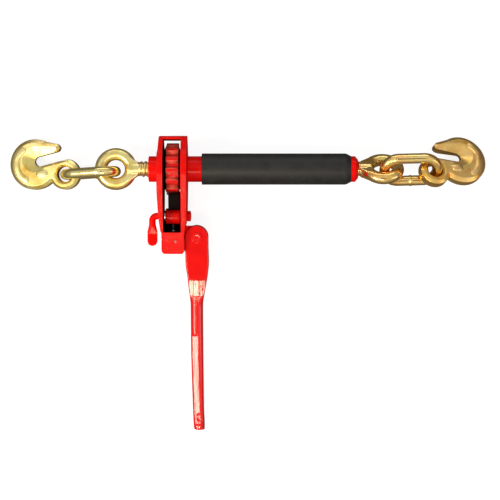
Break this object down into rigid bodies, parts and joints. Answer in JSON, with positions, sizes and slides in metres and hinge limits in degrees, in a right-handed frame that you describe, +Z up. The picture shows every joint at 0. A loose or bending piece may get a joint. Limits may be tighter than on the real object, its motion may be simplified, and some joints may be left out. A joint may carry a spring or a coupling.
{
  "type": "ratchet load binder",
  "caption": "Ratchet tensioner: threaded barrel with grip turned by a ratchet head with folding handle; an eye bolt, chain link and grab hook at each end.",
  "frame": {"origin": "middle of the whole part's bounding box, on the floor", "axes": "+X along the barrel from the head to the long end, +Y from the handle's end towards the barrel, +Z up"},
  "size_m": [0.6718, 0.4156, 0.084],
  "materials": {
    "red_paint": "gloss",
    "gold_zinc": "satin",
    "black_oxide": "matte",
    "bright_steel": "satin",
    "grip_rubber": "matte"
  },
  "bodies": {
    "ratchet_head": {"ratchet_frame": "red_paint", "plunger_bushing": "bright_steel", "detent_spring": "bright_steel", "spring_plug": "bright_steel", "block_pin": "bright_steel"},
    "barrel": {"barrel_tube": "red_paint", "ratchet_wheel": "red_paint", "wheel_key": "bright_steel", "left_thread_nut": "bright_steel", "right_thread_nut": "red_paint", "barrel_grip": "grip_rubber"},
    "left_bolt": {"left_eye_bolt": "gold_zinc", "left_stop_collar": "bright_steel", "left_stop_pin": "bright_steel"},
    "right_bolt": {"right_eye_bolt": "gold_zinc", "right_stop_collar": "bright_steel", "right_stop_pin": "bright_steel"},
    "left_link": {"left_link": "gold_zinc"},
    "right_link": {"right_link": "gold_zinc"},
    "left_hook": {"left_hook": "gold_zinc"},
    "right_hook": {"right_hook": "gold_zinc"},
    "pawl": {"pawl_hub": "red_paint", "pawl_dog": "black_oxide", "pawl_lever": "red_paint", "pawl_shaft_nut": "red_paint", "pawl_washers": "bright_steel"},
    "plunger": {"detent_plunger": "bright_steel"},
    "handle": {"handle": "red_paint", "handle_pin": "red_paint", "pin_washer": "bright_steel"}
  },
  "joints": [
    {"name": "barrel_spin", "type": "hinge", "parent": "ratchet_head", "child": "barrel", "pos_m": [-0.10526, 0.16067, 0.042], "axis": [1, 0, 0], "range_deg": [0, 5760]},
    {"name": "left_bolt_slide", "type": "slide", "parent": "ratchet_head", "child": "left_bolt", "axis": [-1, 0, 0], "range_m": [0, 0.10165]},
    {"name": "right_bolt_slide", "type": "slide", "parent": "ratchet_head", "child": "right_bolt", "axis": [1, 0, 0], "range_m": [0, 0.10165]},
    {"name": "left_link_swing", "type": "hinge", "parent": "left_bolt", "child": "left_link", "pos_m": [-0.20526, 0.16067, 0.042], "axis": [0, 1, 0], "range_deg": [-35, 35]},
    {"name": "left_hook_swing", "type": "hinge", "parent": "left_link", "child": "left_hook", "pos_m": [-0.23699, 0.15476, 0.02705], "axis": [-0.0523, 0.9986, 0], "range_deg": [-35, 35]},
    {"name": "right_link_swing", "type": "hinge", "parent": "right_bolt", "child": "right_link", "pos_m": [0.21044, 0.16067, 0.042], "axis": [0.0236, -0.6557, 0.7547], "range_deg": [-25, 35]},
    {"name": "right_hook_swing", "type": "hinge", "parent": "right_link", "child": "right_hook", "pos_m": [0.24553, 0.16026, 0.04608], "axis": [0.0236, -0.6557, 0.7547], "range_deg": [-35, 35]},
    {"name": "pawl_tilt", "type": "hinge", "parent": "ratchet_head", "child": "pawl", "pos_m": [-0.10526, 0.09496, 0.03586], "axis": [1, 0, 0], "range_deg": [-15, 15]},
    {"name": "plunger_push", "type": "slide", "parent": "ratchet_head", "child": "plunger", "axis": [0, -0.9957, -0.0931], "range_m": [0, 0.003], "stiffness_N_per_m": 1500, "springref_m": -0.004, "deforming": ["detent_spring"]},
    {"name": "handle_fold", "type": "hinge", "parent": "ratchet_head", "child": "handle", "pos_m": [-0.07156, 0.06568, 0.03312], "axis": [0, -0.0931, 0.9957], "range_deg": [0, 90]}
  ],
  "couplings": [
    {"joint": "left_bolt_slide", "follows": "barrel_spin", "m_per_rad": 0.0010106},
    {"joint": "right_bolt_slide", "follows": "barrel_spin", "m_per_rad": 0.0010106}
  ]
}
